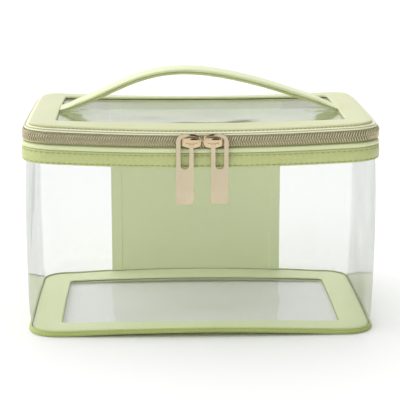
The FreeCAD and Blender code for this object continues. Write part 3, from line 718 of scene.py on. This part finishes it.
def coil_turns(name, run, low, top, body, flip):
    """One half of the chain: a nylon coil whose turns lean, each a flattened loop."""
    turn = bmesh.new()
    bmesh.ops.create_circle(turn, segments=5, radius=0.46,
                            matrix=Matrix.Translation((1, 0, 0)) @ Matrix.Rotation(
                                math.pi / 2, 4, "X"))
    bmesh.ops.spin(turn, geom=turn.verts[:] + turn.edges[:], cent=Vector(), axis=(0, 0, 1),
                   angle=2 * math.pi, steps=12, use_merge=True)
    reach = (top - low) / 2
    for vert in turn.verts:
        x, y, z = vert.co
        radius = math.hypot(x, y) or 1.0
        ring_x, ring_y = x / radius, y / radius
        wire_out, wire_side = radius - 1.0, z
        up = ring_x * (reach - 0.46) + ring_x * wire_out
        out = ring_y * 0.78 + ring_y * wire_out
        lean = 0.42 * ring_y * COIL_PITCH / 2 + TURN_LEAN * ring_x * reach
        vert.co = Vector((wire_side + lean, out, up * flip))
    count = round(run.length / COIL_PITCH)
    middle = (low + top) / 2
    places = []
    for k in range(count):
        s = run.start + (k + 0.5 + 0.25 * flip) * run.length / count
        x, y, a, b = run.at(s)
        here = settled(x + a * 1.25, y + b * 1.25, middle)
        x2, y2, a2, b2 = run.at(s + 0.5)
        ahead = settled(x2 + a2 * 1.25, y2 + b2 * 1.25, middle)
        places.append(frame_at(here, ahead - here, (a, b, 0)))
    piece(name, scatter(turn, places), coil_gold, body, [name], crease=80)


# ---------------------------------------------------------------- lid
LID_WINDOW_EDGE = 22.0
BOARD_INSET = 1.0


def tab_lift(x, y):
    """The lid frame rises over the handle's sewn tabs."""
    along = max(0.0, 1 - ((abs(x) - 105) / 11) ** 2)
    across = max(0.0, 1 - ((y - centre_y) / 17) ** 2)
    return 1.1 * along * across


def make_lid():
    out, window = LID_INSET, LID_WINDOW_EDGE
    low, top = lid_low.z, lid_high.z
    section = [(out + 0.6, low - 0.1), (out + 0.15, low), (out, low + 0.45),
               (out + 0.05, top - 0.5), (out + 0.35, top - 0.12), (out + 0.9, top + 0.05),
               (out + 2.0, top + 0.22), (8, top + 0.32), (12, top + 0.34), (16, top + 0.32),
               (window - 3.2, top + 0.3), (window - 2.2, top + 0.16), (window - 1.2, top + 0.3),
               (window - 0.35, top + 0.1), (window, top - 0.3), (window, low + 0.3),
               (window - 0.6, low), (10, low), (out + 0.6, low - 0.1)]
    rows = rim(section)
    for row in rows:
        for point in row:
            point.z += tab_lift(point.x, point.y)
    # The lid frame takes the paler lid hide, which is painted top light.
    piece("lid_frame", loft(rows), lid_skin_painted_light, "lid", ["lid_frame"])
    board = out + BOARD_INSET
    core = [(board, lid_pane_low.z), (board, lid_pane_high.z), (14, lid_pane_high.z),
            (14, lid_pane_low.z), (board, lid_pane_low.z)]
    piece("lid_stiffener", loft(rim(core)), stiff, "lid", ["lid_stiffener"])
    under = [(2.2, lid_pane_low.z), (window, lid_pane_low.z), (window, lid_pane_low.z - 0.5),
             (window - 0.4, lid_pane_low.z - 0.8), (2.5, lid_pane_low.z - 0.8),
             (2.2, lid_pane_low.z - 0.4), (2.2, lid_pane_low.z)]
    piece("lid_frame_lining", loft(rim(under)), lining, "lid", ["lid_frame_lining"])
    make_brim()
    stitches("lid_stitches", [(out - 0.05, low + 0.1)], 3.0, "lid", None, 2.0, 0.5)


def make_brim():
    """The cream rolled edge that slopes out from under the lid frame to the zip."""
    proud, low, top = -BRIM_PROUD, brim_low.z, lid_low.z
    slope = [(0.4, low), (proud + 0.35, low), (proud + 0.05, low + 0.25), (proud, low + 0.6),
             (proud + 0.2, low + 1.0), (proud + 0.8, low + 1.45), (proud + 1.7, low + 1.85),
             (LID_INSET - 0.9, top - 0.45), (LID_INSET, top - 0.2), (LID_INSET + 0.6, top - 0.1),
             (LID_INSET + 0.6, lid_pane_low.z + 0.02), (0.4, lid_pane_low.z), (0.4, low)]
    piece("lid_rolled_edge", loft(rim(slope)), leather_cream, "lid", ["lid_rolled_edge"])


def lid_wave(x, y):
    """The lid window sags in the middle and puckers where the handle pulls on its ends."""
    sag = -5.5 * max(0.0, 1 - (x / 108) ** 2) * max(0.0, 1 - (y / 62) ** 2)
    wave = 0.25 * math.sin(x / 19 + 1) * math.sin(y / 23) * max(0.0, 1 - (y / 62) ** 2)
    pucker = 0.0
    for side in (-1, 1):
        dx, dy = x * side - 108, y
        reach = math.hypot(dx, dy)
        turn = math.atan2(dy, -dx)
        pucker += 1.1 * math.exp(-(reach / 22) ** 2) * math.sin(turn * 7 + side) * min(
            1.0, reach / 9)
    return sag + wave + pucker


# ---------------------------------------------------------------- handle
HANDLE_HALF = foot_high.x - 9.0
CREST_SHIFT = -11.0
LEFT_LEAN = 1.5
RIGHT_LEAN = 1.15
STRAP_SETTLE = 1.8
STRAP_DEEP = 4.0
strap_middle = (strap_low.y + strap_high.y) / 2
strap_half = (strap_high.y - strap_low.y) / 2


def strap_line(u):
    """The strap's underside: u runs from -1 at the left end to 1 at the right. It leaves the
    left end flat and rises late, and stands up sooner at the right end."""
    foot = foot_low.z + 0.3
    rise = strap_high.z - STRAP_DEEP - foot - STRAP_SETTLE
    inward = max(0.0, 1 - abs(u))
    lean = between(u, ((-0.5, LEFT_LEAN), (0.5, RIGHT_LEAN)))
    z = foot + rise * math.sin(math.pi / 2 * inward) ** lean
    return Vector((u * HANDLE_HALF + CREST_SHIFT * (1 - u * u) ** 1.5, 0, z))


def strap_rows(side, low, high, width, soft, tail):
    """Rows along one half of the strap: a rounded flat section between two depths."""
    rows = []
    reach = 1.0 + tail / HANDLE_HALF
    steps = 60
    for step in range(steps + 1):
        u = side * reach * step / steps
        if abs(u) <= 1:
            here = strap_line(u)
            ahead = strap_line(min(1.0, u + 0.004)) - strap_line(max(-1.0, u - 0.004))
        else:
            here = strap_line(side) + Vector((side * (abs(u) - 1) * HANDLE_HALF, 0, 0))
            ahead = Vector((1, 0, 0))
        along = ahead.normalized()
        up = Vector((-along.z, 0, along.x))
        thin = between(abs(u), ((0.86, 1.0), (1.0, 0.42)))
        row = []
        half = width - (1 - thin) * 0.6
        for turn in range(4):
            hub_y = (half - soft) * (1 if turn in (0, 3) else -1)
            hub_z = high - soft if turn in (0, 1) else low + soft
            for k in range(4):
                angle = math.radians(turn * 90 + k * 30)
                y = hub_y + soft * math.cos(angle)
                z = hub_z + soft * math.sin(angle)
                crown = 0.25 * (1 - (y / width) ** 2) if turn in (0, 1) else 0.0
                row.append(here + up * (z + crown) * thin + Vector((0, strap_middle + y, 0)))
        rows.append(row)
    return rows


def make_handle():
    # The strap's top layer takes the paler hide as painted top light; its underside keeps the
    # band's hide.
    layers = (("strap", 2.05, STRAP_DEEP, strap_half, 0.8, 6.0, leather_pale_painted_light, "handle_strap",
               "leatherette"),
              ("underside", 0.0, 1.85, strap_half - 0.25, 0.75, 6.0, leather,
               "handle_underside", "leatherette"),
              ("core", 1.3, 2.5, strap_half - 1.6, 0.4, 5.0, stiff, "handle_core",
               "stiffener_board"))
    for layer, low, high, width, soft, tail, finish, node, slot in layers:
        for hand, side in (("left", -1), ("right", 1)):
            rows = strap_rows(side, low, high, width, soft, tail)
            bm = loft(rows)
            loose = [edge for edge in bm.edges if edge.is_boundary
                     and abs(edge.verts[0].co.x) > HANDLE_HALF]
            bmesh.ops.edgeloop_fill(bm, edges=loose)
            nodes = [node] + (["handle_ends"] if layer == "strap" else [])
            made = piece("handle_%s_%s" % (layer, hand), bm, finish, None, nodes,
                         crease=60)
            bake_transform(made)


# ---------------------------------------------------------------- sliders and pulls
SLIDER_DROP = 2.2


def block(low, high, soft):
    """A small block with its edges rounded."""
    bm = bmesh.new()
    bmesh.ops.create_cube(bm, size=1)
    bmesh.ops.scale(bm, vec=high - low, verts=bm.verts)
    bmesh.ops.translate(bm, vec=(low + high) / 2, verts=bm.verts)
    bmesh.ops.bevel(bm, geom=bm.edges[:], offset=soft, segments=3, profile=0.5,
                    affect="EDGES", material=-1)
    return bm


def joined(parts):
    """One mesh out of several small ones."""
    bm = bmesh.new()
    for part in parts:
        mesh = bpy.data.meshes.new("part")
        part.to_mesh(mesh)
        part.free()
        bm.from_mesh(mesh)
        bpy.data.meshes.remove(mesh)
    return bm


def shield(side, near, far, level, back, front):
    """The slider's front plate: pointed top and bottom under the crown, narrow at its tail."""
    middle, wide, tail = (near + far) / 2, 5.5, 3.7
    corners = [(near, 2.4), (near + 1.4, 4.1), (middle, wide), (far - 0.6, tail), (far, 2.9)]
    corners += [(x, -z) for x, z in reversed(corners)]
    bm = bmesh.new()
    verts = [bm.verts.new((x * side, back, level + z)) for x, z in corners]
    face = bmesh.ops.contextual_create(bm, geom=verts)["faces"]
    grown = bmesh.ops.extrude_face_region(bm, geom=face)["geom"]
    moved = [item for item in grown if isinstance(item, bmesh.types.BMVert)]
    bmesh.ops.translate(bm, vec=(0, front - back, 0), verts=moved)
    rims = [edge for edge in bm.edges if all(abs(v.co.y - front) < 1e-4 for v in edge.verts)]
    bmesh.ops.bevel(bm, geom=rims, offset=0.5, segments=4, profile=0.5, affect="EDGES",
                    material=-1)
    return bm


def dome(centre, radii, back):
    """A polished oval dome, cut flat at its back."""
    bm = bmesh.new()
    bmesh.ops.create_uvsphere(bm, u_segments=32, v_segments=20, radius=1)
    bmesh.ops.rotate(bm, cent=Vector(), matrix=Matrix.Rotation(math.pi / 2, 3, "X"),
                     verts=bm.verts)
    bmesh.ops.scale(bm, vec=radii, verts=bm.verts)
    bmesh.ops.translate(bm, vec=centre, verts=bm.verts)
    cut = bmesh.ops.bisect_plane(bm, geom=bm.verts[:] + bm.edges[:] + bm.faces[:],
                                 plane_co=(0, back, 0), plane_no=(0, 1, 0), clear_outer=True)
    rims = [item for item in cut["geom_cut"] if isinstance(item, bmesh.types.BMEdge)]
    bmesh.ops.edgeloop_fill(bm, edges=rims)
    return bm


def make_sliders():
    for hand, side in (("left", -1), ("right", 1)):
        plate_low, plate_high = box(hand + "_slider")
        crown_low, crown_high = box(hand + "_crown")
        pull_low = box(hand + "_pull")[0]
        near = min(abs(plate_low.x), abs(plate_high.x))
        far = max(abs(plate_low.x), abs(plate_high.x))
        middle = side * (near + far) / 2
        level = (plate_low.z + plate_high.z) / 2 - SLIDER_DROP
        face = plate_low.y
        back = plate_high.y
        web = block(Vector((middle - 4, face + 0.6, level - 0.25)),
                    Vector((middle + 4, back - 0.5, level + 0.25)), 0.08)
        inner = block(Vector((middle - 6.7, back - 1.0, level - 4.5)),
                      Vector((middle + 6.7, back, level + 4.5)), 0.35)
        body = joined([shield(side, near, far, level, face + 1.3, face), web, inner])
        piece(hand + "_slider_body", body, plate_gold, hand + "_zip_slider",
              [hand + "_slider"], crease=50)
        crown_mid = (crown_low.x + crown_high.x) / 2
        lift = (crown_low.z + crown_high.z) / 2
        seat = pull_low.y - 0.25
        legs = [block(Vector((crown_mid + way * 4.75 - 1.0, seat - 0.5, lift - 2.3)),
                      Vector((crown_mid + way * 4.75 + 1.0, face + 0.3, lift + 2.3)), 0.3)
                for way in (-1, 1)]
        top = dome(Vector((crown_mid, seat + 0.35, lift + 1.2)), Vector((5.9, 2.1, 3.1)), seat)
        piece(hand + "_crown_dome", joined([top] + legs), plate_gold, hand + "_zip_slider",
              [hand + "_crown"], crease=50)
        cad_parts[hand + "_pull"].material_slots[0].material = pull_gold


# ---------------------------------------------------------------- room
def make_room():
    bm = bmesh.new()
    bmesh.ops.create_grid(bm, x_segments=1, y_segments=1, size=6)
    bmesh.ops.translate(bm, vec=(0, 0, -0.0003), verts=bm.verts)
    mesh = bpy.data.meshes.new("floor")
    bm.to_mesh(mesh)
    bm.free()
    floor = bpy.data.objects.new("floor", mesh)
    bpy.context.scene.collection.objects.link(floor)
    paint = Finish("floor_paper")
    place = paint.node("TexCoord").outputs["Object"]
    tooth = paint.number(paint.node("TexNoise", {}, {"Vector": place, "Scale": 300.0}), "Fac")
    mesh.materials.append(paint.done(paint.node("BsdfPrincipled", {}, {
        "Base Color": colour_of(0.985, 0.985, 0.985), "Roughness": (0.7 + tooth * 0.1).clamped(),
        "Specular IOR Level": 0.1})))
    world = bpy.data.worlds.new("studio")
    world.use_nodes = True
    tree = world.node_tree
    sky = tree.nodes["Background"]
    sky.inputs["Color"].default_value = colour_of(1, 1, 1)
    around = tree.nodes.new("ShaderNodeTexCoord")
    split = tree.nodes.new("ShaderNodeSeparateXYZ")
    tree.links.new(around.outputs["Generated"], split.inputs[0])
    across = Value(tree, split.outputs["X"])
    ahead = Value(tree, split.outputs["Y"])
    height = Value(tree, split.outputs["Z"])
    dim = tree.nodes.new("ShaderNodeVectorMath")
    dim.operation = "DOT_PRODUCT"
    tree.links.new(around.outputs["Generated"], dim.inputs[0])
    dim.inputs[1].default_value = (0.34, -0.92, 0.18)
    flag = ((Value(tree, dim.outputs["Value"]) - 0.87) * 20.0).clamped()
    front = (ahead * -4.0).clamped()
    above = ((height - 0.52) * 6.0).clamped()
    right = ((across - 0.35) * 3.0).clamped()
    panel = ((height - 0.10) * 8.0).clamped() * (1 - above)
    glow = (0.92 + 0.16 * ahead) * (1 - 0.92 * flag) * (1 - (0.4 + 0.4 * front) * above)
    glow = glow * (1 - 0.6 * right) * (1 + 0.5 * panel * front)
    tree.links.new(glow.socket, sky.inputs["Strength"])
    bpy.context.scene.world = world
    sun = bpy.data.lights.new("sun", "SUN")
    sun.angle = math.radians(120)
    sun.energy = 2.1
    lamp = bpy.data.objects.new("sun", sun)
    lamp.rotation_euler = Vector((0.36, -0.18, -0.92)).to_track_quat("-Z", "Y").to_euler()
    lamp.visible_glossy = False
    bpy.context.scene.collection.objects.link(lamp)


def make_camera():
    lens = bpy.data.cameras.new("camera")
    lens.sensor_width = 36
    lens.lens = 126
    lens.clip_start, lens.clip_end = 0.05, 50
    camera = bpy.data.objects.new("camera", lens)
    camera.location = (-0.0319, -1.0530, 0.3240)
    camera.rotation_euler = (math.radians(90 - 12.84), 0, math.radians(-1.79))
    bpy.context.scene.collection.objects.link(camera)
    bpy.context.scene.camera = camera
    bpy.context.scene.view_settings.view_transform = "Standard"


make_camera()
make_room()
make_base()
make_pane("base_window", "base_window", (pane_low.z + pane_high.z) / 2, base_wave, "case", 2.5)
make_wall()
make_back_panel()
make_band()
make_zip()
make_lid()
make_pane("lid_window", "lid_window", (lid_pane_low.z + lid_pane_high.z) / 2, lid_wave, "lid",
          2.5)
make_handle()
make_sliders()
